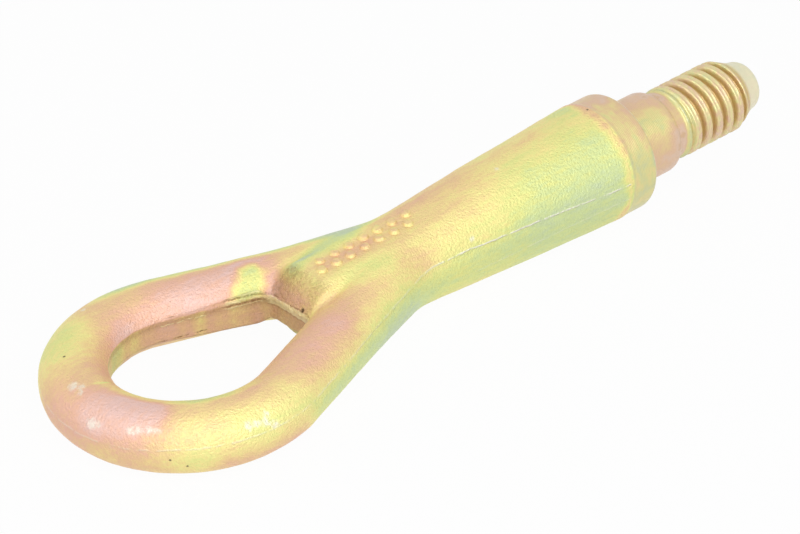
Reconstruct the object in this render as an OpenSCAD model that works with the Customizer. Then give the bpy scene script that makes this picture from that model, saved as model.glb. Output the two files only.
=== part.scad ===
/* [Loop] */
// Distance from the shoulder to the far end of the loop
reach = 182.7; // [176:0.1:196]
// Width of the loop over its outer edges
loop_w = 73.8; // [68:0.1:80]
// Width of the bar in the plane of the loop
bar_w = 18; // [15:0.1:20]
// Height of the bar across the plane of the loop
bar_h = 17.2; // [14:0.1:19]
// Angle between the outer edge of a leg and the axis
leg_angle = 21.4; // [19:0.1:24]
// Angle between the inner edge of a leg and the axis
hole_angle = 18.9; // [16:0.1:21]
// Height of the flat wall that punching leaves around the hole
wall_h = 6.3; // [4:0.1:9]

/* [Crotch] */
// Distance from the shoulder to the hole's wall at the crotch
crotch_l = 112.3; // [108:0.1:116]
// Radius of the hole's two corners at the crotch
crotch_r = 5.2; // [3:0.1:6.5]
// Width of the flat top of the pad that runs from the crotch into the shank
pad_w = 14; // [10:0.1:16]
// Height of the pad over the plane of the loop
pad_h = 10.8; // [9.5:0.1:12]
// Slope of the pad's blunt nose
pad_nose_angle = 58; // [40:1:70]
// Slope of the pad's two sides
pad_side_angle = 55; // [40:1:70]
// Rounding of the pad's edges
pad_edge = 3.6; // [1:0.1:5]

/* [Shank] */
// Diameter of the shank where the legs have become round
waist_d = 28.6; // [26:0.1:31]
// Length of the cone from the waist to the turned band
cone_l = 40.8; // [34:0.1:46]
// Radius of the hollow between a leg and the cone
waist_fillet = 20; // [12:0.5:30]
// Radius of the valleys between the pad and the legs
valley_r = 1.8; // [0.8:0.1:2.5]

/* [Collar] */
// Diameter of the turned band behind the shoulder
collar_d = 32.5; // [30:0.1:35]
// Length of the turned band
collar_l = 9; // [6:0.1:12]
// Radius of the band's front edge
collar_edge = 1.6; // [0.6:0.1:2.4]
// Depth that turning takes off the forging
turned_depth = 0.2; // [0.1:0.05:0.4]

/* [Pilot neck] */
// Diameter of the pilot neck
neck_d = 22.7; // [21:0.1:25]
// Length of the pilot neck, without its rounded front end
neck_l = 11.7; // [9:0.1:14]
// Length of the neck's rounded front end
neck_taper_l = 2.4; // [1:0.1:4]
// Diameter at the front of the rounded end
neck_front_d = 19.6; // [19.2:0.1:20.4]
// Diameter of the relief between the neck and the thread
relief_d = 18.6; // [17.4:0.1:19]
// Length of the relief
relief_l = 3.6; // [1:0.1:5]

/* [Thread] */
// Outer diameter of the thread
thread_d = 20; // [19.2:0.1:21]
// Length of the threaded part
thread_l = 24.5; // [20:0.1:28]
// Pitch of the right-hand thread
pitch = 3.9; // [3.5:0.1:5]
// Depth of the groove
thread_depth = 1.8; // [1:0.1:2]
// Width of the groove at the crest
groove_w = 1.9; // [1.4:0.1:2.2]
// Width of the groove at its root
root_w = 0.8; // [0.4:0.1:1.2]
// Length over which the crest rises from the relief
lead_in_l = 1.2; // [0.5:0.1:3]
// Length over which the groove runs out towards the relief
run_out_l = 3.6; // [1:0.1:5]
// Drop of the long chamfer at the front end of the thread
thread_chamfer = 1.9; // [1.8:0.1:2.2]
// Length of that chamfer
chamfer_l = 3.8; // [2:0.1:6]
// Distance from the start of the thread to the groove on the +Y side
groove_start = 3.6; // [2:0.1:6]

/* [Pilot nose] */
// Diameter of the nose where it leaves the thread
nose_d = 15.8; // [14:0.1:16]
// Diameter of the nose where its end starts to round
nose_front_d = 14; // [12:0.1:14]
// Length of the nose
nose_l = 6.2; // [5:0.1:12]
// Radius of the nose's rounded end
nose_edge = 3.3; // [1:0.1:5]

/* [Resolution] */
// Steps across a leg, from the parting line to the hole
across = 14; // [8:1:16]
// Steps around half of the loop's round end
end_steps = 13; // [8:1:20]
// Steps along a leg
leg_steps = 6; // [4:1:12]
// Steps around a corner of the hole
corner_steps = 5; // [2:1:6]
// Steps along half of the wall at the crotch
wall_steps = 3; // [2:1:5]
// Steps from the crotch to the turned band
shank_steps = 20; // [14:1:30]
// Steps to one turn of the thread
turn_steps = 21; // [14:1:28]
// Steps around the crest of the thread
crest_steps = 10; // [6:1:14]
// Sides of the turned surfaces
turned_sides = 48; // [32:2:128]
// Steps around a turned edge
edge_steps = 5; // [3:1:8]

/* [Hidden] */

// The axis of the thread is X and the parting plane is z = 0. The origin is in the face of the shoulder.
zinc_yellow = [0.86, 0.80, 0.48];
end_r = loop_w / 2;
end_x = end_r - reach;
wall_z = wall_h / 2;
crotch_x = -crotch_l;
band_x = -collar_l;
waist_x = band_x - cone_l;
forged_r = collar_d / 2 + turned_depth;
plug_l = 2;
relief_lap = 0.3;
relief_step = 0.15;
// How far past the waist the section has become round, and how the stations crowd towards the crotch
round_past = 6;
station_power = 1.5;
// Stations from the crotch over which the columns leave the rail for equal steps
split_stations = shank_steps / 2;

// Width of the bar from its outer edge to the flat wall of the hole
leg_w = bar_w / 2 * (1 + sqrt(1 - pow(wall_h / bar_h, 2)));

// Small helpers: an arc as points, a direction, a smooth step and a rounded maximum
function arc(c, r, a0, a1, n) = [for (k = [0:n]) c + r * heading(a0 + (a1 - a0) * k / n)];
function heading(a) = [cos(a), sin(a)];
function limited(t) = max(0, min(1, t));
function eased(t) = pow(limited(t), 2) * (3 - 2 * limited(t));
function blended(a, b, r) = max(a, b) + pow(max(r - abs(a - b), 0), 2) / (4 * r);
function lower(a, b, r) = -blended(-a, -b, r);
function mixed(a, b, t) = a + (b - a) * t;
function tail(list) = [for (k = [1:len(list) - 1]) list[k]];

// Plan of the outer edge: round end, straight leg, hollow of the waist, cone
leg_out = heading(-leg_angle);
normal_out = heading(90 - leg_angle);
leg_start = [end_x, 0] + end_r * normal_out;
cone_start = [waist_x, waist_d / 2];
cone_end = [band_x, forged_r];
cone_angle = atan2(cone_end.y - cone_start.y, cone_end.x - cone_start.x);
normal_cone = heading(90 + cone_angle);
reach_leg = leg_start * normal_out + waist_fillet;
reach_cone = cone_end * normal_cone + waist_fillet;
cross_normals = normal_out.x * normal_cone.y - normal_out.y * normal_cone.x;
fillet_c = [
    reach_leg * normal_cone.y - reach_cone * normal_out.y,
    reach_cone * normal_out.x - reach_leg * normal_cone.x
] / cross_normals;
fillet_x0 = (fillet_c - waist_fillet * normal_out).x;
fillet_x1 = (fillet_c - waist_fillet * normal_cone).x;
function on_leg(x) = leg_start.y - (x - leg_start.x) * tan(leg_angle);
function on_cone(x) = cone_end.y + (x - cone_end.x) * tan(cone_angle);
function on_fillet(x) = fillet_c.y - sqrt(pow(waist_fillet, 2) - pow(x - fillet_c.x, 2));
function outer_y(x) = x < fillet_x0 ? on_leg(x) : x > fillet_x1 ? on_cone(x) : on_fillet(x);

// Plan of the hole: round end, straight side, corner, wall at the crotch
leg_in = heading(-hole_angle);
normal_in = heading(90 - hole_angle);
hole_start = [end_x, 0] + (end_r - leg_w) * normal_in;
hole_line = hole_start - crotch_r * normal_in;
corner_c = hole_line + leg_in * (crotch_x - crotch_r - hole_line.x) / leg_in.x;
corner_start = corner_c + crotch_r * normal_in;
side_end_x = leg_start.x + norm(corner_start - hole_start) * leg_out.x;
crotch_outer_x = side_end_x + crotch_r;

// Stations run from the far end of the loop to the turned band. Each goes from an outer end to an inner
// end, which lies on the hole's edge, and past the crotch on a rail that carries on from its corner.
function leg_x(t) = mixed(leg_start.x, side_end_x, t);
function corner_x(t) = mixed(side_end_x, crotch_outer_x, t);
function shank_x(t) = mixed(crotch_x, band_x, pow(t, station_power));
function shank_outer_x(t) = shank_x(t) + (crotch_outer_x - crotch_x) * (1 - eased(t));
outer_ends = concat(
    arc([end_x, 0], end_r, 180, 90 - leg_angle, end_steps),
    [for (k = [1:leg_steps]) let (x = leg_x(k / leg_steps)) [x, outer_y(x)]],
    [for (k = [1:corner_steps]) let (x = corner_x(k / corner_steps)) [x, outer_y(x)]],
    [for (k = [1:shank_steps]) let (x = shank_outer_x(k / shank_steps)) [x, outer_y(x)]]
);
inner_ends = concat(
    arc([end_x, 0], end_r - leg_w, 180, 90 - hole_angle, end_steps),
    [for (k = [1:leg_steps]) mixed(hole_start, corner_start, k / leg_steps)],
    tail(arc(corner_c, crotch_r, 90 - hole_angle, 0, corner_steps)),
    [for (k = [1:shank_steps]) [shank_x(k / shank_steps), corner_c.y]]
);
stations = len(outer_ends);
last = stations - 1;
crotch_i = end_steps + leg_steps + corner_steps;

// Height of the forging over the parting plane
function roundness(i) = eased((inner_ends[i].x - crotch_x) / (waist_x + round_past - crotch_x));
function half_width(i, full) = min(full, mixed(bar_w / 2, full, roundness(i)));
function crown(i) = mixed(bar_h / 2, outer_y(inner_ends[i].x), roundness(i));
function leg_z(i, q, w) = crown(i) * sqrt(max(0, 1 - pow((q - w) / w, 2)));
function past_hole(p) =
    let (v = p - corner_c) (v.y < 0 ? v.x : v * leg_in > 0 ? norm(v) : v * normal_in) - crotch_r;
function pad_nose_z(p) = wall_z + past_hole(p) * tan(pad_nose_angle);
function pad_side_z(p) = pad_h + (pad_w / 2 - p.y) * tan(pad_side_angle);
function pad_z(p) = lower(lower(pad_h, pad_side_z(p), pad_edge), pad_nose_z(p), pad_edge);
function skin_z(i, p, q, w) = max(blended(leg_z(i, q, w), pad_z(p), valley_r), q > w / 2 ? wall_z : 0);

// One half section, from the parting line to the hole's edge, and past the crotch on to the axis
row = across + wall_steps + 1;
rail_a = acos(corner_c.y / forged_r);
function split(i) = eased((i - crotch_i) / split_stations);
function along(i, t) = mixed((1 - cos(180 * t)) / 2, (1 - cos(rail_a * t)) / (1 - cos(rail_a)), split(i));
function section(i) =
    let (o = outer_ends[i], v = inner_ends[i] - o, full = norm(v) + (i < crotch_i ? 0 : corner_c.y))
    let (w = half_width(i, full))
    [for (j = [0:row - 1])
        let (past = max(0, j - across) / wall_steps * (i < crotch_i ? 0 : corner_c.y))
        let (s = along(i, min(1, j / across)), p = o + v * s - [0, past])
        [p.x, p.y, j == 0 ? 0 : skin_z(i, p, norm(v) * s + past, w)]];
half_sections = [for (i = [0:last]) section(i)];

// The four quarters share their points on the parting line, at the far end and on the axis
quarter = stations * row;
function on_axis(i, j) = i == 0 || (j == row - 1 && i >= crotch_i);
function at(i, j, sy, sz) =
    (sy < 0 && !on_axis(i, j) ? 2 * quarter : 0) + (sz < 0 && j > 0 ? quarter : 0) + i * row + j;
forging_points = [
    for (sy = [1, -1]) for (sz = [1, -1]) for (s = half_sections) for (p = s) [p.x, sy * p.y, sz * p.z]
];
function faced(f, outward) = outward ? f : [for (k = [len(f) - 1:-1:0]) f[k]];
function halves(a, b, c, d, outward) = [faced([a, b, c], outward), faced([a, c, d], outward)];
function skin_patch(i, j, sy, sz) =
    let (a = at(i, j, sy, sz), b = at(i + 1, j, sy, sz))
    let (c = at(i + 1, j + 1, sy, sz), d = at(i, j + 1, sy, sz))
    halves(a, b, c, d, sy * sz > 0);
function wall_patch(i, j, di, dj, sy) =
    let (a = at(i, j, sy, 1), b = at(i + di, j + dj, sy, 1))
    let (c = at(i + di, j + dj, sy, -1), d = at(i, j, sy, -1))
    halves(a, b, c, d, sy > 0);
skin_faces = [
    for (sy = [1, -1]) for (sz = [1, -1]) for (i = [0:last - 1])
        for (j = [0:(i < crotch_i ? across : row - 1) - 1]) for (f = skin_patch(i, j, sy, sz)) f
];
hole_faces = [
    for (sy = [1, -1]) for (i = [0:crotch_i - 1]) for (f = wall_patch(i, across, 1, 0, sy)) f,
    for (sy = [1, -1]) for (j = [across:row - 2]) for (f = wall_patch(crotch_i, j, 0, 1, sy)) f
];
band_face = [
    for (j = [row - 1:-1:1]) at(last, j, 1, -1),
    for (j = [0:row - 1]) at(last, j, 1, 1),
    for (j = [row - 2:-1:0]) at(last, j, -1, 1),
    for (j = [1:row - 2]) at(last, j, -1, -1)
];

module forging() {
    polyhedron(forging_points, concat(skin_faces, hole_faces, [faced(band_face, false)]), convexity = 6);
}

// Turned surfaces, as a profile of distance along the axis and radius
relief_x = neck_l + neck_taper_l;
thread_x = relief_x + relief_l;
thread_end_x = thread_x + thread_l;
tip_x = thread_end_x + nose_l;
function neck_end(a) = [neck_l + neck_taper_l * sin(a), mixed(neck_front_d, neck_d, cos(a)) / 2];
turned_profile = concat(
    [[band_x - plug_l, 0], [band_x - plug_l, collar_d / 2]],
    arc([-collar_edge, collar_d / 2 - collar_edge], collar_edge, 90, 0, edge_steps),
    [[0, neck_d / 2]],
    [for (k = [0:edge_steps]) neck_end(90 * k / edge_steps)],
    [[relief_x, relief_d / 2], [thread_x + relief_lap, relief_d / 2], [thread_x + relief_lap, nose_d / 2]],
    [[thread_end_x, nose_d / 2]],
    arc([tip_x - nose_edge, nose_front_d / 2 - nose_edge], nose_edge, 90, 0, edge_steps),
    [[tip_x, 0]]
);

module turned_end() {
    rotate([0, 90, 0])
        rotate([0, 0, 90])
            rotate_extrude($fn = turned_sides)
                polygon([for (p = turned_profile) [p.y, p.x]]);
}

// The thread is a rod whose section turns once in each pitch. Its first groove starts at groove_x.
groove_x = thread_x + groove_start;
root_a = 180 * root_w / pitch;
groove_a = 180 * groove_w / pitch;
root_share = [-1, -1 / 3, 1 / 3, 1];
section_angles = concat(
    root_share * root_a,
    [(root_a + groove_a) / 2],
    [for (k = [0:crest_steps]) mixed(groove_a, 360 - groove_a, k / crest_steps)],
    [360 - (root_a + groove_a) / 2]
);
rod_sides = len(section_angles);
function groove_share(a) = limited((groove_a - min(abs(a), 360 - a)) / (groove_a - root_a));
function thread_share(x) = eased((x - thread_x) / run_out_l);
root_r = thread_d / 2 - thread_depth;
crest_r0 = relief_d / 2 + relief_step;
function crest_r(x) =
    min(mixed(crest_r0, thread_d / 2, eased((x - thread_x) / lead_in_l)),
        thread_d / 2 - thread_chamfer * limited((x - thread_end_x) / chamfer_l + 1));
function rod_r(x, a) = mixed(crest_r(x), min(crest_r(x), root_r), groove_share(a) * thread_share(x));
slices = ceil(thread_l / pitch * turn_steps);
rod_points = [
    for (k = [0:slices]) for (a = section_angles)
        let (x = mixed(thread_x, thread_end_x, k / slices), r = rod_r(x, a))
        let (turn = a + 360 * (x - groove_x) / pitch)
        [x, r * cos(turn), r * sin(turn)]
];
rod_faces = [
    for (k = [0:slices - 1]) for (j = [0:rod_sides - 1])
        let (b = k * rod_sides, n = (j + 1) % rod_sides)
        for (f = halves(b + rod_sides + j, b + rod_sides + n, b + n, b + j, true)) f
];

module thread_rod() {
    near_cap = [for (j = [0:rod_sides - 1]) j];
    far_cap = [for (j = [rod_sides - 1:-1:0]) slices * rod_sides + j];
    polyhedron(rod_points, concat(rod_faces, [near_cap, far_cap]), convexity = 8);
}

module tow_eye() {
    color(zinc_yellow)
        union() {
            forging();
            turned_end();
            thread_rod();
        }
}

tow_eye();
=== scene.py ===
"""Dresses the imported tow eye: forged skin, turned end, rolled thread and yellow chromate finish."""

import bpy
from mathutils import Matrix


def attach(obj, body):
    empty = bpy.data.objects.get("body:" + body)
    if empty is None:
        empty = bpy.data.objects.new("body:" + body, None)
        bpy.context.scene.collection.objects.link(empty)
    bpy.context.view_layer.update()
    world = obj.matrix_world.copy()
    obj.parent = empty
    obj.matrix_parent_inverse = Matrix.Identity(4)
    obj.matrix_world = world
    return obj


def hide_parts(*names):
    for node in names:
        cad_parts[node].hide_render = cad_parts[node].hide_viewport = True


bl_info = {
    "name": "Tow eye",
    "version": (1, 0, 0),
    "blender": (4, 5, 0),
    "location": "View3D > Sidebar > Tow Eye",
    "description": "Makes a screw-in tow eye with its forged loop, turned end and rolled thread",
    "category": "Add Mesh",
}

import math

import bmesh
import bpy
import numpy as np
from bpy.props import FloatProperty, FloatVectorProperty, IntProperty, PointerProperty
from mathutils import Matrix, Vector, kdtree, noise

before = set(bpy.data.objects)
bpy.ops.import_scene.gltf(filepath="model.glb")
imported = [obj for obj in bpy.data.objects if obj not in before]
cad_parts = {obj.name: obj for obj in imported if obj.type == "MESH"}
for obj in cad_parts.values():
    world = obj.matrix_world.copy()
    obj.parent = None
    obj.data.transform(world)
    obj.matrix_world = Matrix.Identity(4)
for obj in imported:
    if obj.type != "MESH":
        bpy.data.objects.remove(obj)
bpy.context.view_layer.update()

FORGED, TURNED, PIPS, EYE = "forged_part", "turned_part", "pad_pips", "forged_tow_eye"

# Millimetres in a metre, and distances within which two points or planes are taken as one
MM = 1000
WELD = 2e-6
TOUCH = 1e-5


# Sizes and colours

def length(name, default, description):
    return FloatProperty(name=name, description=description, default=default, min=0.0, unit="LENGTH", precision=5)


def angle(name, degrees, description):
    return FloatProperty(name=name, description=description, default=math.radians(degrees), subtype="ANGLE")


def count(name, default, description):
    return IntProperty(name=name, description=description, default=default, min=1)


def amount(name, default, description):
    return FloatProperty(name=name, description=description, default=default, min=0.0, max=1.0, subtype="FACTOR")


def linear(code):
    """The linear colour of a six-digit sRGB code."""
    parts = [int(code[k:k + 2], 16) / 255 for k in (0, 2, 4)]
    return tuple(c / 12.92 if c <= 0.04045 else ((c + 0.055) / 1.055) ** 2.4 for c in parts)


def colour(name, code, description):
    return FloatVectorProperty(name=name, description=description, default=linear(code), min=0.0, max=1.0,
                               size=3, subtype="COLOR")


class ForgedSizes(bpy.types.PropertyGroup):
    """Sizes of the loop, crotch, pad and shank."""
    reach: length("Reach", 0.1827, "Shoulder to the loop's far end")
    loop_width: length("Loop width", 0.0738, "Width over the loop")
    bar_width: length("Bar width", 0.018, "Width of the loop's bar in its plane")
    bar_height: length("Bar height", 0.0172, "Height of the loop's bar")
    leg_angle: angle("Leg angle", 21.4, "Slope of the loop's outer sides")
    hole_angle: angle("Hole angle", 18.9, "Slope of the hole's sides")
    wall_height: length("Wall height", 0.0063, "Height of the punched wall round the hole")
    crotch_length: length("Crotch length", 0.1123, "Shoulder to the hole's near end")
    crotch_radius: length("Crotch radius", 0.0052, "Radius in the hole's near corners")
    pad_width: length("Pad width", 0.014, "Width of the raised pad's flat top")
    pad_height: length("Pad height", 0.0108, "Height of the pad's top over the loop's plane")
    nose_angle: angle("Nose angle", 58, "Slope of the pad's blunt nose")
    pad_side_angle: angle("Pad side angle", 55, "Slope of the pad's sides")
    pad_edge: length("Pad edge", 0.0036, "Softness of the pad's edges")
    nose_edge: length("Nose edge", 0.0062, "Softness between the pad's nose and its top and sides")
    valley: length("Valley", 0.0018, "Softness of the valley beside the pad")
    waist_diameter: length("Waist diameter", 0.0286, "Diameter of the shank's waist")
    waist_fillet: length("Waist fillet", 0.02, "Radius between the legs and the shank")
    cone_length: length("Cone length", 0.0408, "Length of the shank's flare")
    collar_diameter: length("Collar diameter", 0.0325, "Diameter of the turned band")
    collar_length: length("Collar length", 0.009, "Length of the turned band")
    turned_depth: length("Turned depth", 0.0002, "Skin taken off the forging by the turning")


class TurnedSizes(bpy.types.PropertyGroup):
    """Sizes of the neck, relief, thread and pilot nose."""
    collar_edge: length("Collar edge", 0.0016, "Radius of the collar's front edge")
    neck_diameter: length("Neck diameter", 0.0227, "Diameter of the pilot neck")
    neck_length: length("Neck length", 0.0117, "Length of the pilot neck")
    neck_taper: length("Neck taper", 0.0024, "Length of the rounded taper in front of the neck")
    neck_front: length("Neck front", 0.0196, "Diameter at the taper's end")
    relief_diameter: length("Relief diameter", 0.0186, "Diameter of the relief behind the thread")
    relief_length: length("Relief length", 0.0036, "Length of the relief")
    thread_diameter: length("Thread diameter", 0.02, "Diameter over the thread's crests")
    thread_length: length("Thread length", 0.0245, "Length of the thread")
    pitch: length("Pitch", 0.0039, "Advance of the thread in one turn")
    thread_depth: length("Thread depth", 0.0018, "Depth of the groove")
    groove_width: length("Groove width", 0.0019, "Width of the groove at the crests")
    root_width: length("Root width", 0.0008, "Width of the groove's bottom")
    crest_dip: length("Crest dip", 0.00016, "Depth of the rolling mark along each crest")
    groove_place: length("Groove place", 0.0213, "Where the groove crosses the +Y side")
    lead_in: length("Lead in", 0.0012, "Rise from the relief to the crests")
    run_out: length("Run out", 0.0036, "Length over which the groove fades")
    thread_chamfer: length("Thread chamfer", 0.0019, "Drop of the long chamfer at the thread's front end")
    chamfer_length: length("Chamfer length", 0.0038, "Length of that chamfer")
    nose_base: length("Nose base", 0.0158, "Diameter of the pilot nose where it leaves the thread")
    nose_diameter: length("Nose diameter", 0.014, "Diameter of the nose where its end starts to round")
    nose_length: length("Nose length", 0.0062, "Length of the pilot nose")
    nose_edge: length("Nose edge", 0.0033, "Radius of the nose's rounded end")


class PipSizes(bpy.types.PropertyGroup):
    """Sizes of the raised pips on the pad."""
    columns: count("Columns", 7, "Pips in a row")
    rows: count("Rows", 2, "Rows of pips")
    start: length("Start", 0.103, "Shoulder to the first pip")
    spacing: length("Spacing", 0.0048, "Distance between pips in a row")
    row_gap: length("Row gap", 0.0036, "Distance between the rows")
    width: length("Width", 0.0028, "Width of a pip's foot")
    height: length("Height", 0.00068, "Height of a pip")


class FinishColours(bpy.types.PropertyGroup):
    """Colours of the chromate film, from thin to thick, of what shows through it, and of the painted shade, shadow
    and highlights.
    """
    film_blue: colour("Film blue", "c3d0bd", "Hardly any film, blue grey")
    film_grey: colour("Film grey", "cddcb4", "Thinnest film, pale mint")
    film_green: colour("Film green", "d8e5a4", "Thin film, green")
    film_lime: colour("Film lime", "e8ea97", "Film, yellow green")
    film_yellow: colour("Film yellow", "f7ea9c", "Film, clear yellow")
    film_gold: colour("Film gold", "f6dc9b", "Film, gold")
    film_peach: colour("Film peach", "f0ca9c", "Thick film, peach")
    film_pink: colour("Film pink", "efbfa6", "Thicker film, pink")
    film_lilac: colour("Film lilac", "eecac1", "Thick film, lilac")
    film_tan: colour("Film tan", "e0b294", "Thickest film, tan")
    flash_cream: colour("Flash cream", "f3e8b4", "Sheared flash along the edges")
    crack_shadow_brown: colour("Crack shadow brown", "8a6238", "Painted shadow in the crack lines beside the flash")
    # Painted shadow in the crack lines beside and under the flash
    turned_haze: colour("Turned haze", "d4c095", "Dull tan of the turned skin")
    # Gold brown film in the thread's grooves, also painted shade there
    groove_brown_and_shade: colour("Groove brown", "c8aa70", "Gold brown of the thread's grooves")
    # Painted shade: brown on the hole's wall, the underside beside it, just under the far leg's edge and on the
    # pad nose's faces towards -X
    shade_brown: colour("Shade brown", "b38d5f", "Painted shade on the hole's wall, under its edge and on the nose")
    # Bare zinc of the rubs, also used for the painted highlights along the collar's and thread's front edges
    bare_zinc_and_highlight: colour("Bare zinc and highlight", "f7f4e6", "Rubbed zinc, and painted highlights on edges")
    pit_dark: colour("Pit dark", "5a4c34", "Dirt in the pits")
    floor: colour("Floor", "f4f4f4", "Pale studio floor")
    roughness: amount("Roughness", 0.48, "Roughness of the forged skin")
    metal: amount("Metal", 0.55, "How metallic the film looks")


def thread_span(turned):
    """Where the thread starts and ends along the axis."""
    start = turned.neck_length + turned.neck_taper + turned.relief_length
    return start, start + turned.thread_length


# Small helpers for shapes

def heading(turn):
    """Unit vector in the loop's plane."""
    return np.array([math.cos(turn), math.sin(turn)])


def mixed(a, b, t):
    return a + (b - a) * t


def eased(t):
    t = np.clip(t, 0, 1)
    return t * t * (3 - 2 * t)


def between(low, high, value):
    """Rises from 0 at low to 1 at high."""
    return eased((value - low) / (high - low))


def zone(value, start, full, last, end):
    """Rises from 0 at start to 1 at full, and falls from 1 at last to 0 at end."""
    return between(start, full, value) * between(end, last, value)


def higher(a, b, soft):
    """The higher of two surfaces, with a soft valley."""
    return np.maximum(a, b) + np.maximum(soft - abs(a - b), 0) ** 2 / (4 * soft)


def lower(a, b, soft):
    return -higher(-a, -b, soft)


def bell(distance, reach):
    return np.exp(-(distance / reach) ** 2)


def arc(centre, radius, start, end, steps):
    turns = np.linspace(start, end, steps + 1)
    return np.c_[centre[0] + radius * np.cos(turns), centre[1] + radius * np.sin(turns)]


def cloudy(points, grain, offset=0.0, stretch=(1, 1, 1)):
    """Smooth noise from -1 to 1 whose lumps measure about grain metres."""
    scaled = points / (grain * np.array(stretch)) + offset
    return np.array([noise.noise(p) for p in scaled.tolist()])


def clouds(points, layers):
    """Sum of layers of noise, each given as its height and what cloudy takes."""
    return sum(height * cloudy(points, *layer) for height, *layer in layers)


def from_spot(points, spot):
    return np.linalg.norm(points - spot, axis=1)


def from_line(points, start, end):
    """Distance of each point from a straight piece of line."""
    start, run = np.array(start), np.array(end) - np.array(start)
    share = np.clip((points - start) @ run / (run @ run), 0, 1)
    return np.linalg.norm(points - start - share[:, None] * run, axis=1)


def place(name, mesh):
    """Puts a mesh in the scene at the origin, in place of an older one of that name."""
    old = bpy.data.objects.get(name)
    if old:
        bpy.data.objects.remove(old)
    thing = bpy.data.objects.new(name, mesh)
    bpy.context.scene.collection.objects.link(thing)
    return thing


def need(name):
    thing = bpy.data.objects.get(name)
    if thing is None:
        raise RuntimeError(f"{name} has to be made first")
    return thing


# Node building

class Value:
    """A number socket that adds Math nodes when Python does sums with it."""

    def __init__(self, nodes, socket):
        self.nodes, self.socket = nodes, socket

    def sum(self, operation, *parts, clamp=False):
        return self.nodes.add("ShaderNodeMath", dict(enumerate(parts)), operation=operation, use_clamp=clamp)[0]

    def __add__(self, other):
        return self.sum("ADD", self, other)

    __radd__ = __add__

    def __mul__(self, other):
        return self.sum("MULTIPLY", self, other)

    __rmul__ = __mul__

    def __sub__(self, other):
        return self.sum("SUBTRACT", self, other)

    def __rsub__(self, other):
        return self.sum("SUBTRACT", other, self)

    def __truediv__(self, other):
        return self.sum("DIVIDE", self, other)

    def __abs__(self):
        return self.sum("ABSOLUTE", self)

    def least(self, other):
        return self.sum("MINIMUM", self, other)

    def most(self, *others):
        highest = self
        for other in others:
            highest = highest.sum("MAXIMUM", highest, other)
        return highest

    def rounded(self):
        return self.sum("ROUND", self)

    def floored(self):
        return self.sum("FLOOR", self)

    def sine(self):
        return self.sum("SINE", self)

    def cosine(self):
        return self.sum("COSINE", self)

    def held(self):
        """Kept between 0 and 1."""
        return self.sum("ADD", self, 0.0, clamp=True)

    def rise(self, low, high):
        """Goes smoothly from 0 at low to 1 at high."""
        sockets = {"Value": self, "From Min": low, "From Max": high}
        return self.nodes.add("ShaderNodeMapRange", sockets, interpolation_type="SMOOTHSTEP", clamp=True)[0]


class Outputs:
    """A node's outputs as values, by name or number."""

    def __init__(self, nodes, node):
        self.nodes, self.node = nodes, node

    def __getitem__(self, key):
        return Value(self.nodes, self.node.outputs[key])


class Nodes:
    """Adds nodes to one tree: type, then settings, which are set first, and socket values or links."""

    def __init__(self, tree):
        self.tree = tree

    def add(self, kind, sockets=None, **settings):
        node = self.tree.nodes.new(kind)
        for key, value in settings.items():
            if key == "stops":
                self.fill_ramp(node.color_ramp, value)
            else:
                setattr(node, key, value)
        for key, value in (sockets or {}).items():
            if isinstance(value, Value):
                self.tree.links.new(value.socket, node.inputs[key])
            else:
                node.inputs[key].default_value = value
        return Outputs(self, node)

    @staticmethod
    def fill_ramp(ramp, stops):
        while len(ramp.elements) < len(stops):
            ramp.elements.new(1.0)
        for element, (position, shade) in zip(ramp.elements, stops):
            element.position = position
            element.color = (*shade, 1.0)

    def layered(self, base, layers):
        """Mixes one colour after another into the base, each by its own factor."""
        for factor, shade in layers:
            base = self.add("ShaderNodeMix", {0: factor, 6: base, 7: (*shade, 1.0)}, data_type="RGBA")[2]
        return base

    def vector(self, operation, first, second):
        return self.add("ShaderNodeVectorMath", {0: first, 1: second}, operation=operation)

    def axes(self, vector):
        return self.add("ShaderNodeSeparateXYZ", {0: vector})

    def joined(self, x, y, z):
        return self.add("ShaderNodeCombineXYZ", {"X": x, "Y": y, "Z": z})[0]

    def cloud(self, place, grain, detail=2.0, roughness=0.5):
        """Noise from 0 to 1 with lumps of about grain metres."""
        sockets = {"Vector": place, "Scale": 1 / grain, "Detail": detail, "Roughness": roughness}
        return self.add("ShaderNodeTexNoise", sockets, noise_dimensions="3D")[0]

    def attribute(self, name):
        return self.add("ShaderNodeAttribute", attribute_name=name)["Fac"]

    def moved(self, geometry, position):
        return self.add("GeometryNodeSetPosition", {"Geometry": geometry, "Position": position})[0]

    def original(self, thing):
        """The geometry of an object that is an input."""
        return self.add("GeometryNodeObjectInfo", {"Object": thing}, transform_space="ORIGINAL")["Geometry"]

    def close(self, geometry, finish):
        """Ends a geometry tree with its instances made real and the finish on them."""
        real = self.add("GeometryNodeRealizeInstances", {"Geometry": geometry})[0]
        painted = self.add("GeometryNodeSetMaterial", {"Geometry": real, "Material": finish})[0]
        self.add("NodeGroupOutput", {0: painted})


def geometry_tree(name, **labels):
    """A new geometry tree with the inputs of each kind that the labels name, its nodes and its group input."""
    tree = bpy.data.node_groups.new(name, "GeometryNodeTree")
    for way in ("INPUT", "OUTPUT"):
        tree.interface.new_socket("Geometry", in_out=way, socket_type="NodeSocketGeometry")
    for kind, names in labels.items():
        for label in names:
            tree.interface.new_socket(label, in_out="INPUT", socket_type=f"NodeSocket{kind}")
    nodes = Nodes(tree)
    return tree, nodes, nodes.add("NodeGroupInput")


def sizes_for(group, labels):
    """Values for inputs that are named as the group's sizes are."""
    return {label: getattr(group, label.lower().replace(" ", "_")) for label in labels}


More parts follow.
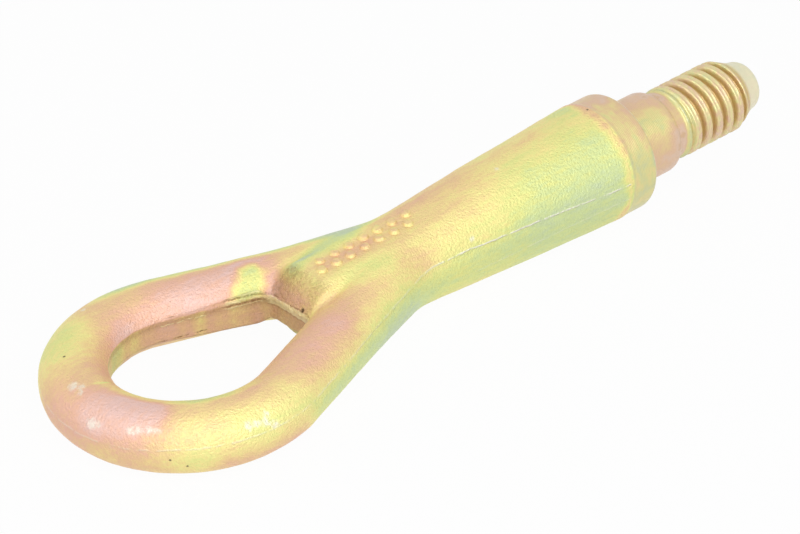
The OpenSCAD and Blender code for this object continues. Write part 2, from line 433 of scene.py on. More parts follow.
def grow(name, seed_mesh, tree, values):
    """Runs a geometry tree on a mesh and returns the plain mesh that it makes."""
    thing = place(name, seed_mesh)
    modifier = thing.modifiers.new(tree.name, "NODES")
    modifier.node_group = tree
    sockets = {s.name: s.identifier for s in tree.interface.items_tree if s.in_out == "INPUT"}
    for label, value in values.items():
        modifier[sockets[label]] = value
    bpy.context.view_layer.update()
    made = bpy.data.meshes.new_from_object(thing.evaluated_get(bpy.context.evaluated_depsgraph_get()))
    bpy.data.objects.remove(thing)
    return place(name, made)


# Forged part: the loop, crotch, pad and shank

STEPS = dict(end=72, leg=76, corner=26, shank=122, across=38, wall=8)

# How the sections crowd towards the crotch, the share of the shank over which their columns turn even, and
# how far past the waist the shank has become round
CROWDING = 1.35
TURN_SHARE = 0.55
ROUND_PAST = 0.006

# Rows down the punched wall, as shares of its height, close together under the top edge
WALL_ROWS = np.array([0, 0.03, 0.07, 0.11, 0.15, 0.19, 0.24, 0.29, 0.36, 0.46, 0.58, 0.72, 0.86, 0.95, 1.0])


class ForgingPlan:
    """Lines and arcs of the forging in the loop's plane, for the half on the +Y side."""

    def __init__(self, size):
        self.size = size
        self.end_radius = size.loop_width / 2
        self.end_x = self.end_radius - size.reach
        self.wall_z = size.wall_height / 2
        self.crotch_x = -size.crotch_length
        self.band_x = -size.collar_length
        self.waist_x = self.band_x - size.cone_length
        self.forged_radius = size.collar_diameter / 2 + size.turned_depth
        self.leg_width = size.bar_width / 2 * (1 + math.sqrt(1 - (size.wall_height / size.bar_height) ** 2))
        self.place_outside()
        self.place_hole()

    def place_outside(self):
        size, fillet = self.size, self.size.waist_fillet
        self.leg_line = heading(-size.leg_angle)
        self.leg_normal = heading(math.pi / 2 - size.leg_angle)
        self.leg_start = np.array([self.end_x, 0]) + self.end_radius * self.leg_normal
        self.cone_end = np.array([self.band_x, self.forged_radius])
        rise = self.cone_end - [self.waist_x, size.waist_diameter / 2]
        self.cone_slope = rise[1] / rise[0]
        cone_normal = heading(math.pi / 2 + math.atan(self.cone_slope))
        sides = [self.leg_start @ self.leg_normal + fillet, self.cone_end @ cone_normal + fillet]
        self.fillet_centre = np.linalg.solve(np.array([self.leg_normal, cone_normal]), sides)
        self.fillet_start = (self.fillet_centre - fillet * self.leg_normal)[0]
        self.fillet_end = (self.fillet_centre - fillet * cone_normal)[0]

    def place_hole(self):
        size, radius = self.size, self.size.crotch_radius
        self.hole_line = heading(-size.hole_angle)
        self.hole_normal = heading(math.pi / 2 - size.hole_angle)
        self.hole_start = np.array([self.end_x, 0]) + (self.end_radius - self.leg_width) * self.hole_normal
        line = self.hole_start - radius * self.hole_normal
        self.corner = line + self.hole_line * (self.crotch_x - radius - line[0]) / self.hole_line[0]
        self.corner_start = self.corner + radius * self.hole_normal
        side = np.linalg.norm(self.corner_start - self.hole_start)
        self.side_end = self.leg_start[0] + side * self.leg_line[0]
        self.crotch_outer = self.side_end + radius

    def outline(self, x):
        """Half width of the forging at x, along the leg, waist fillet and cone."""
        size = self.size
        leg = self.leg_start[1] - (x - self.leg_start[0]) * math.tan(size.leg_angle)
        cone = self.cone_end[1] + (x - self.cone_end[0]) * self.cone_slope
        dip = np.maximum(size.waist_fillet ** 2 - (x - self.fillet_centre[0]) ** 2, 0)
        fillet = self.fillet_centre[1] - np.sqrt(dip)
        return np.where(x < self.fillet_start, leg, np.where(x > self.fillet_end, cone, fillet))


def section_lines(plan):
    """Outer and inner ends of the sections, from the far end of the loop to the turned band."""
    size, end, leg, corner, shank = plan.size, *(STEPS[k] for k in ("end", "leg", "corner", "shank"))
    side, bend, run = (np.arange(1, steps + 1) / steps for steps in (leg, corner, shank))
    inner_x = mixed(plan.crotch_x, plan.band_x, run ** CROWDING)
    outer_x = np.concatenate([
        mixed(plan.leg_start[0], plan.side_end, side),
        mixed(plan.side_end, plan.crotch_outer, bend),
        inner_x + (plan.crotch_outer - plan.crotch_x) * (1 - eased(run)),
    ])
    centre = (plan.end_x, 0)
    outer = np.vstack([
        arc(centre, plan.end_radius, math.pi, math.pi / 2 - size.leg_angle, end),
        np.c_[outer_x, plan.outline(outer_x)],
    ])
    inner = np.vstack([
        arc(centre, plan.end_radius - plan.leg_width, math.pi, math.pi / 2 - size.hole_angle, end),
        mixed(plan.hole_start, plan.corner_start, side[:, None]),
        arc(plan.corner, size.crotch_radius, math.pi / 2 - size.hole_angle, 0, corner)[1:],
        np.c_[inner_x, np.full(shank, plan.corner[1])],
    ])
    return outer, inner, end + leg + corner


def pad_surface(plan, points):
    """Height of the pad's flat top, sides and nose."""
    size = plan.size
    from_corner = points - plan.corner
    around = np.where(from_corner @ plan.hole_line > 0, np.linalg.norm(from_corner, axis=-1),
                      from_corner @ plan.hole_normal)
    past_hole = np.where(from_corner[..., 1] < 0, from_corner[..., 0], around) - size.crotch_radius
    nose = plan.wall_z + past_hole * math.tan(size.nose_angle)
    side = size.pad_height + (size.pad_width / 2 - points[..., 1]) * math.tan(size.pad_side_angle)
    return lower(lower(size.pad_height, side, size.pad_edge), nose, size.nose_edge)


def quarter_skin(plan):
    """Grid of points of the quarter on the +Y and +Z sides, and the row of the crotch."""
    size, across, wall = plan.size, STEPS["across"], STEPS["wall"]
    outer, inner, crotch = section_lines(plan)
    row = np.arange(len(outer))[:, None]
    column = np.arange(across + wall + 1)[None]
    half = np.where(row < crotch, 0, plan.corner[1])
    step = inner - outer
    outer_y, step_y = outer[:, 1][:, None], step[:, 1][:, None]
    share = (1 - np.cos(np.pi * np.minimum(1, column / across))) / 2
    y = outer_y + step_y * share - np.maximum(0, column - across) / wall * half
    # Past the crotch the columns turn slowly into equal steps round the round shank
    quarter_turn = np.pi / 2 * column / (across + wall)
    turn = eased((row - crotch) / (TURN_SHARE * (len(outer) - 1 - crotch)))
    y = mixed(y, outer_y * np.cos(quarter_turn), turn)
    share = np.where(row < crotch, share, np.minimum(1, (outer_y - y) / -step_y))
    beyond = np.where(row < crotch, 0, np.maximum(0, inner[:, 1][:, None] - y))
    points = np.dstack([outer[:, 0][:, None] + step[:, 0][:, None] * share, y])
    points[crotch:, -1, 1] = 0
    points[0, :, 1] = 0
    reach = np.linalg.norm(step, axis=1)[:, None]
    inward, full = reach * share + beyond, reach + half
    round_off = eased((inner[:, 0] - plan.crotch_x) / (plan.waist_x + ROUND_PAST - plan.crotch_x))[:, None]
    width = np.minimum(full, mixed(size.bar_width / 2, full, round_off))
    crown = mixed(size.bar_height / 2, plan.outline(inner[:, 0])[:, None], round_off)
    bar = crown * np.sqrt(np.maximum(0, 1 - ((inward - width) / width) ** 2))
    floor = np.where(inward > width / 2, plan.wall_z, 0)
    height = np.maximum(higher(bar, pad_surface(plan, points), size.valley), floor)
    height[:, 0] = 0
    height[-1] = outer[-1, 1] * np.sin(quarter_turn[0])
    return np.dstack([points, height]), crotch


# Layers of noise on the torn edge: height, grain and offset
EDGE_LAYERS = [(0.00028, 0.0045, 3.1), (0.00022, 0.0017, 7.7)]


def ragged_edge(edge):
    """Height that flash and tearing add to the punched wall's edge, more on the far leg."""
    torn = between(-0.150, -0.125, edge[:, 0]) * (edge[:, 1] > 0)
    return clouds(edge, EDGE_LAYERS) * (0.5 + 0.6 * torn)


def forged_points(plan):
    """Points, faces and wall mask of the whole forged skin, with its equal points made one."""
    grid, crotch = quarter_skin(plan)
    across, depth = STEPS["across"], len(WALL_ROWS) - 1
    rows, columns = grid.shape[:2]
    path = [(i, across) for i in range(crotch + 1)] + [(crotch, j) for j in range(across + 1, columns)]
    path_rows, path_columns = np.array(path).T
    i, j = np.meshgrid(np.arange(rows - 1), np.arange(columns - 1), indexing="ij")
    used = (i >= crotch) | (j < across)
    i, j = i[used], j[used]
    corners = [(i, j), (i, j + 1), (i + 1, j + 1), (i + 1, j)]
    on_edge = np.zeros((rows, columns))
    on_edge[path_rows, path_columns] = 1
    points, faces, masks, total = [], [], [], 0
    for side in (1, -1):
        ends = {}
        for half in (1, -1):
            skin = grid * [1, side, half]
            if half > 0:
                skin[path_rows, path_columns, 2] += ragged_edge(skin[path_rows, path_columns])
            ends[half] = skin[path_rows, path_columns]
            order = corners if side * half > 0 else corners[::-1]
            faces.append(np.stack([total + a * columns + b for a, b in order], 1))
            points.append(skin.reshape(-1, 3))
            masks.append(on_edge.ravel())
            total += rows * columns
        a, b = np.meshgrid(np.arange(depth), np.arange(len(path) - 1), indexing="ij")
        quad = [(a, b), (a + 1, b), (a + 1, b + 1), (a, b + 1)][::side]
        faces.append(np.stack([(total + p * len(path) + q).ravel() for p, q in quad], 1))
        points.append(mixed(ends[1], ends[-1], WALL_ROWS[:, None, None]).reshape(-1, 3))
        masks.append(np.ones((depth + 1) * len(path)))
        total += len(masks[-1])
    return merged(np.vstack(points), np.vstack(faces), np.concatenate(masks))


def merged(points, faces, masks):
    """Makes points that share a place one, and drops the points that no face uses."""
    used = np.unique(faces)
    renumber = np.zeros(len(points), int)
    renumber[used] = np.arange(len(used))
    points, masks, faces = points[used], masks[used], renumber[faces]
    keys = np.round(points * 1e7).astype(np.int64)
    _, first, same = np.unique(keys, axis=0, return_index=True, return_inverse=True)
    return points[first], same.reshape(-1)[faces], masks[first]


def point_normals(points, faces):
    corners = points[faces]
    normals = np.cross(corners[:, 2] - corners[:, 0], corners[:, 3] - corners[:, 1])
    total = np.zeros_like(points)
    for k in range(faces.shape[1]):
        np.add.at(total, faces[:, k], normals)
    return total / np.maximum(np.linalg.norm(total, axis=1), 1e-12)[:, None]


# Height of the trimmed flash's upper edge along the part: place, height
TRIM_EDGE = [(-0.183, 0.0012), (-0.172, 0.0022), (-0.150, 0.0024), (-0.120, 0.0028), (-0.090, 0.0036),
             (-0.067, 0.0040), (-0.040, 0.0028), (-0.016, 0.0012), (-0.009, 0.0009)]


def trim_distance(points):
    """Height over the upper edge of the trimmed flash."""
    return points[:, 2] - np.interp(points[:, 0], *zip(*TRIM_EDGE))


def nose_face(points):
    """1 on the pad's torn nose, upper and lower."""
    x, y = points.T[:2]
    return zone(x, -0.1130, -0.1115, -0.1075, -0.1045) * between(0.0088, 0.0062, np.abs(y))


def hole_distance(plan, points):
    """Distance of each point from the hole's top edge."""
    _, inner, crotch = section_lines(plan)
    edge = [Vector((x, y, plan.wall_z)) for x, y in inner[:crotch + 1]]
    edge.append(Vector((plan.crotch_x, 0, plan.wall_z)))
    parts = 6
    tree = kdtree.KDTree(parts * len(edge))
    for k, (start, end) in enumerate(zip(edge, edge[1:])):
        for part in range(parts):
            tree.insert(start.lerp(end, part / parts), parts * k + part)
    tree.balance()
    return np.array([tree.find((x, abs(y), z))[2] for x, y, z in points.tolist()])


def flash_bead(plan, points, wall):
    """How strong the bead of flash is, and each point's depth below the hole's top edge, negative above it."""
    x, y, z = points.T
    away = hole_distance(plan, points)
    rim = np.where((wall > 0.5) | (z < plan.wall_z - TOUCH), np.maximum(away, 0), -away)
    crotch_part = between(-0.1225, -0.1165, x)
    far_leg = 0.25 * between(-0.162, -0.150, x) * (y > 0)
    return np.maximum(np.maximum(crotch_part, far_leg), 0.10), rim


# Layers of noise on the skin and on the torn nose: height, grain and offset
SKIN_LAYERS = [(0.00010, 0.016, 1.3), (0.00007, 0.006, 4.2), (0.00004, 0.0024, 9.4)]
NOSE_LAYERS = [(0.00018, 0.0013, 8.8), (0.00016, 0.0028, 6.1)]

# Ridges of the bead of flash: depth below the edge, reach, height, roughness, and the noise's grain and offset
BEAD_RIDGES = [(0.0008, 0.00068, 0.00044, 0.00072, 0.0018, 5.5), (-0.0002, 0.00050, 0.00016, 0.00020, 0.0023, 8.5)]

# How far the underside falls away beside the legs and beside the crotch, where below the edge, and its reach
FALL_LEG, FALL_CROTCH, FALL_PLACE, FALL_REACH = 0.0010, 0.0014, 0.0038, 0.0027

# Crease on the inner side of the far end: place across, wander, reach and depth
CREASE_Y, CREASE_WANDER, CREASE_REACH, CREASE_DEPTH = 0.0024, 0.0006, 0.00055, 0.00030

# Pit in the nose and knocks, in millimetres: place, reach and depth
KNOCKS = [
    (-111.7, -3.8, 3.8, 0.7, 0.60), (-179.0, 6.0, 7.0, 3.5, 0.22), (-173.5, -20.0, 6.5, 3.0, 0.18),
    (-150.0, -34.5, 4.5, 3.2, 0.20), (-124.0, -26.5, 7.0, 4.0, 0.15), (-56.0, -4.0, 13.5, 5.0, 0.16),
    (-30.0, 8.0, 14.0, 4.0, 0.12), (-145.0, 33.0, -5.0, 4.0, 0.20), (-90.0, 2.0, -10.5, 5.0, 0.18),
]


def skin_relief(plan, points, wall):
    """How far hammering, flash, tearing and knocks move each point along its normal."""
    x, y, z = points.T
    relief = clouds(points, SKIN_LAYERS)
    # Land left by the trimmed flash, with a small ledge at its upper edge
    land = (1 - wall) * between(0.0002, -0.0006, trim_distance(points)) * between(-0.0036, -0.0028, z)
    relief -= land * (0.00006 + 0.00005 * cloudy(points, 0.005, 12.0))
    strength, rim = flash_bead(plan, points, wall)
    for depth, reach, height, rough, grain, offset in BEAD_RIDGES:
        relief += strength * bell(rim - depth, reach) * (height + rough * cloudy(points, grain, offset))
    fall = mixed(FALL_LEG, FALL_CROTCH, between(-0.128, -0.117, x)) * zone(x, -0.152, -0.138, -0.107, -0.104)
    under = bell(hole_distance(plan, points * [1, 1, -1]) - FALL_PLACE, FALL_REACH)
    relief -= fall * under * (1 - wall) * between(-0.0025, -0.0034, z)
    relief += nose_face(points) * clouds(points, NOSE_LAYERS)
    crease = bell(y - CREASE_Y - CREASE_WANDER * cloudy(points, 0.003, 2.2), CREASE_REACH)
    relief -= CREASE_DEPTH * crease * zone(x, -0.1752, -0.1715, -0.163, -0.158) * (z > -0.002)
    for *spot, reach, depth in KNOCKS:
        relief -= depth / MM * bell(from_spot(points * MM, spot), reach)
    return relief * between(plan.band_x - 0.0003, plan.band_x - 0.006, x)


def build_forged(size):
    plan = ForgingPlan(size)
    points, faces, wall = forged_points(plan)
    points = points + point_normals(points, faces) * skin_relief(plan, points, wall)[:, None]
    mesh = bpy.data.meshes.new(FORGED)
    mesh.from_pydata(points.tolist(), [], faces.tolist())
    mesh.attributes.new("wall", "FLOAT", "POINT").data.foreach_set("value", wall.astype(np.float32))
    mesh.shade_smooth()
    return place(FORGED, mesh)


# Turned part: the band, neck, relief, thread and pilot nose

# Run of the step where the turning starts, fillet at the shoulder, and run of the small steep faces
STEP_RUN, SHOULDER_FILLET, STEEP_RUN = 0.0012, 0.0003, 0.0003

# Lip at the thread's start: distance from it and drop under the crest
LIP = [(0.0004, 0.0002), (0.0007, 0.00034)]


def straight_rows(start, *legs):
    """Points along straight legs, each given as its end and its steps, without the last end."""
    rows = []
    for end, steps in legs:
        rows.append(mixed(np.array(start), np.array(end), (np.arange(steps) / steps)[:, None]))
        start = end
    return np.vstack(rows)


def turned_profile(forged, size):
    """Half section of the turned end from the band to the tip, as distance along the axis and radius."""
    collar, neck, front, relief, crest, base, nose = (diameter / 2 for diameter in (
        forged.collar_diameter, size.neck_diameter, size.neck_front, size.relief_diameter,
        size.thread_diameter, size.nose_base, size.nose_diameter))
    band, edge, nose_edge, fillet = forged.collar_length, size.collar_edge, size.nose_edge, SHOULDER_FILLET
    relief_x = size.neck_length + size.neck_taper
    thread_x, thread_end = thread_span(size)
    tip = thread_end + size.nose_length
    step = np.linspace(0, 1, 7)[:-1]
    turn = np.linspace(0, math.pi / 2, 9)[:-1]
    (lip_x, lip_drop), (dent_x, dent_drop) = LIP
    return np.vstack([
        np.c_[-band + step * STEP_RUN, collar + forged.turned_depth * (1 - eased(step))],
        straight_rows((-band + STEP_RUN, collar), ((-edge, collar), 9)),
        arc((-edge, collar - edge), edge, math.pi / 2, 0, 9)[:-1],
        straight_rows((0, collar - edge), ((0, neck + fillet), 5)),
        arc((fillet, neck + fillet), fillet, math.pi, 1.5 * math.pi, 3)[:-1],
        straight_rows((fillet, neck), ((size.neck_length, neck), 14)),
        np.c_[size.neck_length + size.neck_taper * np.sin(turn), front + (neck - front) * np.cos(turn)],
        straight_rows(
            (relief_x, front),
            ((relief_x + STEEP_RUN, relief), 3),
            ((thread_x, relief), 8),
            ((thread_x + lip_x, crest - lip_drop), 3),
            ((thread_x + dent_x, crest - dent_drop), 2),
            ((thread_x + size.lead_in, crest), 3),
            ((thread_end - size.chamfer_length, crest), 108),
            ((thread_end, crest - size.thread_chamfer), 24),
            ((thread_end + STEEP_RUN, base), 3),
            ((tip - nose_edge, nose), 7),
        ),
        arc((tip - nose_edge, nose - nose_edge), nose_edge, math.pi / 2, 0, 12)[:-1],
        straight_rows((tip, nose - nose_edge), ((tip, 0), 5)),
        [[tip, 0.0]],
    ])


# Inputs of the thread that are named as its sizes are
THREAD_INPUTS = ("Pitch", "Thread Depth", "Groove Width", "Root Width", "Groove Place", "Run Out", "Crest Dip")

# Rounding of the groove's shoulders, and half width of the rolling mark's flat and of the whole mark
SHOULDER, MARK_FLAT, MARK_HALF = 0.0003, 0.0001, 0.0006

# Lengths over which the rolling mark fades at the thread's start and end
MARK_IN, MARK_OUT = 0.001, 0.0012


def thread_tree():
    """Turns a half section round the axis and cuts the thread's groove where the rule puts it."""
    tree, nodes, given = geometry_tree(
        "roll_thread", Int=("Rows", "Around"), Material=("Material",),
        Float=("Thread Start", "Thread End", "Crest Radius", *THREAD_INPUTS))
    rows, start, end, pitch = (given[k] for k in ("Rows", "Thread Start", "Thread End", "Pitch"))
    grid = nodes.add("GeometryNodeMeshGrid", {"Size X": 1.0, "Size Y": 1.0, "Vertices X": rows,
                                              "Vertices Y": given["Around"] + 1})["Mesh"]
    here = nodes.add("GeometryNodeInputPosition")[0]
    row = ((nodes.axes(here)["X"] + 0.5) * (rows - 1)).rounded()
    turn = nodes.axes(here)["Y"] + 0.5
    sample = nodes.add("GeometryNodeSampleIndex", {"Geometry": given["Geometry"], "Value": here, "Index": row},
                       data_type="FLOAT_VECTOR", domain="POINT")[0]
    x, radius = nodes.axes(sample)["X"], nodes.axes(sample)["Y"]
    laps = (x - given["Groove Place"]) / pitch - turn
    aside = abs(laps - laps.rounded()) * pitch
    # Groove with sloping flanks and rounded shoulders, and a shallow rolling mark along each crest
    flank = 1 - aside.rise(given["Root Width"] * 0.5, given["Groove Width"] * 0.5 + SHOULDER)
    dip = (1 - abs(aside - pitch * 0.5).rise(MARK_FLAT, MARK_HALF)) * given["Crest Dip"]
    dip = dip * x.rise(start, start + MARK_IN) * (1 - x.rise(end - MARK_OUT, end))
    cut = given["Crest Radius"] - given["Thread Depth"] * flank * x.rise(start, start + given["Run Out"])
    on_thread = x.rise(start, start + TOUCH) * (1 - x.rise(end, end + TOUCH))
    threaded = radius + (radius.least(cut.least(radius - dip)) - radius) * on_thread
    bearing = turn * (2 * math.pi)
    moved = nodes.moved(grid, nodes.joined(x, threaded * bearing.cosine(), threaded * bearing.sine()))
    closed = nodes.add("GeometryNodeMergeByDistance", {"Geometry": moved, "Distance": WELD})[0]
    smooth = nodes.add("GeometryNodeSetShadeSmooth", {"Geometry": closed, "Shade Smooth": True})[0]
    nodes.close(smooth, given["Material"])
    return tree


def build_turned(forged, size, finish):
    profile = turned_profile(forged, size)
    seed = bpy.data.meshes.new("turned_section")
    seed.from_pydata([(x, r, 0) for x, r in profile.tolist()], [(k, k + 1) for k in range(len(profile) - 1)], [])
    start, end = thread_span(size)
    part = grow(TURNED, seed, thread_tree(), {
        "Rows": len(profile), "Around": 4 * (STEPS["across"] + STEPS["wall"]), "Thread Start": start,
        "Thread End": end, "Crest Radius": size.thread_diameter / 2, **sizes_for(size, THREAD_INPUTS),
        "Material": finish,
    })
    face_outwards(part.data)
    return part


def face_outwards(mesh):
    """Turns a closed or open shell so that its faces point away from its axis."""
    shape = bmesh.new()
    shape.from_mesh(mesh)
    bmesh.ops.remove_doubles(shape, verts=shape.verts, dist=WELD)
    inward = sum(1 for f in shape.faces if f.normal.yz.dot(f.calc_center_median().yz) < 0)
    if inward > len(shape.faces) / 2:
        bmesh.ops.reverse_faces(shape, faces=shape.faces)
    shape.to_mesh(mesh)
    shape.free()


# Raised pips on the pad

PIP_SIDES = 20

# Half section of a pip, as shares of its foot's radius and of its height
PIP_SECTION = [(1.16, -0.35), (1.08, -0.02), (0.98, 0.12), (0.88, 0.5), (0.78, 0.86), (0.62, 0.98), (0.32, 1.0)]

# How far a pip strays from its place, and how small and how large it comes out
PIP_STRAY, PIP_LEAST, PIP_MOST = 0.00008, 0.94, 1.06

# Inputs of the pips that are named as their sizes are
PIP_COUNTS, PIP_LENGTHS = ("Columns", "Rows"), ("Start", "Spacing", "Row Gap")


def pip_mesh(size):
    """One pip: flat top, drafted side and a foot that runs out into the pad."""
    foot, high = size.width / 2, size.height
    turns = 2 * math.pi * np.arange(PIP_SIDES) / PIP_SIDES
    rings = [np.c_[foot * r * np.cos(turns), foot * r * np.sin(turns), np.full(PIP_SIDES, high * h)]
             for r, h in PIP_SECTION]
    points = np.vstack(rings + [[[0, 0, high]], [[0, 0, -high * 0.5]]])
    top, bottom, last = len(points) - 2, len(points) - 1, (len(rings) - 1) * PIP_SIDES
    around = [(a, (a + 1) % PIP_SIDES) for a in range(PIP_SIDES)]
    faces = [(k + a, k + b, k + PIP_SIDES + b, k + PIP_SIDES + a)
             for k in range(0, last, PIP_SIDES) for a, b in around]
    for a, b in around:
        faces += [(last + a, last + b, top), (b, a, bottom)]
    mesh = bpy.data.meshes.new("pip")
    mesh.from_pydata(points.tolist(), [], faces)
    mesh.shade_smooth()
    return mesh


def pip_tree():
    """Seats one pip after another on the skin below a staggered grid of points."""
    tree, nodes, given = geometry_tree("seat_pips", Object=("Skin", "Pip"), Int=(*PIP_COUNTS, "Seed"),
                                       Float=PIP_LENGTHS, Material=("Material",))
    rows, seed = given["Rows"], given["Seed"]
    line = nodes.add("GeometryNodeMeshLine", {"Count": given["Columns"] * rows}, mode="OFFSET",
                     count_mode="TOTAL")[0]
    index = nodes.add("GeometryNodeInputIndex")[0]
    column = (index / rows).floored()
    row = index - column * rows
    stray = nodes.add("FunctionNodeRandomValue", {
        "Min": (-PIP_STRAY, -PIP_STRAY, 0), "Max": (PIP_STRAY, PIP_STRAY, 0), "Seed": seed},
        data_type="FLOAT_VECTOR")[0]
    x = column * given["Spacing"] + row * given["Spacing"] * 0.5 - given["Start"]
    y = (row - (rows - 1) * 0.5) * given["Row Gap"]
    above = nodes.vector("ADD", nodes.joined(x, y, 0.03), stray)[0]
    hit = nodes.add("GeometryNodeRaycast", {
        "Target Geometry": nodes.original(given["Skin"]), "Source Position": above, "Ray Direction": (0, 0, -1),
        "Ray Length": 0.05}, data_type="FLOAT")
    seated = nodes.moved(nodes.moved(line, above), hit["Hit Position"])
    lean = nodes.add("FunctionNodeAlignRotationToVector", {"Vector": hit["Hit Normal"]}, axis="Z")[0]
    size = nodes.add("FunctionNodeRandomValue", {2: PIP_LEAST, 3: PIP_MOST, "Seed": seed}, data_type="FLOAT")[1]
    spread = nodes.add("GeometryNodeInstanceOnPoints", {
        "Points": seated, "Instance": nodes.original(given["Pip"]), "Rotation": lean, "Scale": size})[0]
    nodes.close(spread, given["Material"])
    return tree


def build_pips(size, finish):
    pip = place("pip_pattern", pip_mesh(size))
    values = {"Skin": need(FORGED), "Pip": pip, **sizes_for(size, PIP_COUNTS + PIP_LENGTHS), "Seed": 4,
              "Material": finish}
    part = grow(PIPS, bpy.data.meshes.new("pip_seed"), pip_tree(), values)
    bpy.data.objects.remove(pip)
    return part


# Where the film is thick, where rubs are, and where shade and highlights are painted

# The camera's up direction; how far each face leans along it sets a painted sheen in the film's colour
CAMERA_UP = np.array([0.35, 0.417, 0.839])

# Painted sheen: film on the forging where its skin leans along that direction: more film, and the lean from which
# and to which it grows
PAINTED_SHEEN_FILM = [(0.06, 0.35, 0.84), (-0.40, 0.87, 0.98), (0.12, -0.6, -0.9)]

# Streaks of the film, in millimetres: from, to and reach, and how much thicker it is there
STREAKS = [
    ((-150, 21, 6), (-116, 13, 6), 9, 0.44), ((-168, 28, 3), (-120, 22, 3), 6, -0.12),
    ((-170, 20.5, 8.6), (-142, 28.5, 8.6), 5.6, -0.16), ((-150, 18.5, 4), (-128, 15, 4), 3.5, 0.16),
    ((-177, -10, 7.5), (-171, -18, 7.5), 5, 0.22), ((-181, 8, 2), (-178, -14, 3), 10, 0.31),
    ((-176, -4, 8), (-165, -12, 6), 8, 0.16), ((-167, 8, 4), (-158, 17, 0), 6, 0.30),
    ((-172, -24, 4), (-160, -30, 5), 8, 0.08), ((-165, -16, 4), (-150, -19, 3), 6, 0.12),
    ((-152, 28.5, 7.6), (-112, 17.5, 9.5), 5.2, 0.18), ((-178.5, -7, 6.8), (-172.5, -15, 8), 5.5, 0.22),
    ((-152, -20, 1), (-132, -17, 2), 4, 0.14), ((-150, -34, 4), (-138, -34, 4), 8, -0.10),
    ((-147, -26.5, 8.3), (-108, -15, 7.5), 7.8, 0.24), ((-132, -30, 5.8), (-114, -22.5, 6.8), 5.5, 0.22),
    ((-128, -34, -3), (-88, -17, -3), 7.5, -0.26), ((-101, -9, 9), (-88, -10, 9.5), 3.5, -0.12),
    ((-106, 6, 10), (-88, 6, 10.5), 4, -0.34), ((-98, -14, 6), (-78, -11, 6), 4, 0.18),
    ((-80, -1, 12), (-55, -2, 13), 7, 0.07), ((-76, 6, 10), (-20, 6.5, 14.5), 5.5, 0.18),
    ((-176, 20, 6), (-162, 27, 6), 6, 0.01), ((-100, 1, 10.8), (-88, 0, 11), 4.2, 0.24),
    ((-109, 14, 8), (-100, 12, 9), 6, 0.12), ((-36, -12, 6), (-14, -14, 6), 9, -0.16),
    ((-21, 2.5, 15.5), (-13, 3, 16), 3.5, -0.14), ((-22, -5, 14.5), (-16, -8, 14.5), 4.5, -0.08),
    ((-80, -10, -8), (-16, -12, -10), 8, -0.14), ((-181, -8, -4), (-168, -28, -4), 6, -0.22),
    ((-160, -34, -4), (-140, -36, -3), 4, 0.20), ((-112, 6, 5), (-112, -2, 6), 4, 0.34),
    ((-150, 20, -6), (-120, 13, -7), 10, 0.06), ((-180, 0, -6), (-170, -22, -6), 10, 0.20),
    ((-90, 4, -10), (-60, -4, -12), 8, 0.22), ((-140, -30, -7), (-116, -22, -7), 8, 0.26),
]

# Patch on the far leg where the film stayed thin, in millimetres: from, to, distance within which it is
# wholly thin, distance from which it is as elsewhere, wander of its edge, and the film's thickness on it
THIN_PATCH = ((-118.2, 9.2, 4.2), (-114.0, 12.6, 7.4), 1.2, 6.0, 1.2, 0.24)

# Layers of noise in the film: thickness, grain, offset and stretch
FORGED_FILM_LAYERS = [(0.05, 0.010, 3.3, (2.2, 1, 1)), (0.06, 0.0042, 6.6, (2.8, 1, 1)),
                      (0.05, 0.0018, 1.9, (2.4, 1, 1))]
TURNED_FILM_LAYERS = [(0.26, 0.0065, 5.1, (2, 1, 1)), (0.18, 0.0032, 2.7), (0.12, 0.0013, 6.2)]

# Rubbed spots, in millimetres: place and reach
RUB_REACH = 1.35
RUBS = [
    (-176.5, 5.5, 8.0, 1.6), (-175.5, 3.5, 8.3, 1.1), (-177.2, 2.0, 7.8, 0.9), (-180.7, -6.4, 4.7, 1.5),
    (-180.0, -8.0, 4.9, 1.0), (-176.5, -16.2, 5.6, 1.2), (-175.2, -17.6, 5.9, 1.1), (-173.6, -20.0, 6.1, 1.2),
    (-172.2, -21.6, 6.1, 0.8), (-181.0, -13.0, 1.0, 0.8), (-154.6, -34.1, 5.0, 1.3), (-152.5, -34.5, 4.8, 1.1),
    (-150.0, -35.0, 4.4, 1.3), (-147.9, -36.2, 3.1, 1.2), (-149.0, -34.0, 5.6, 1.0), (-117.0, -29.0, 4.0, 1.2),
    (-113.0, -27.2, 4.4, 0.9), (-108.0, -24.5, 5.0, 1.0), (-44.0, -2.0, 14.2, 0.8), (-62.0, -12.0, 6.0, 0.9),
    (-154.0, 30.0, 8.0, 0.9), (-156.0, 25.0, -8.0, 1.8), (-70.0, 8.0, -11.0, 1.6), (-136.0, -30.0, -7.5, 1.5),
    (-25.0, -6.0, -15.0, 1.4),
]


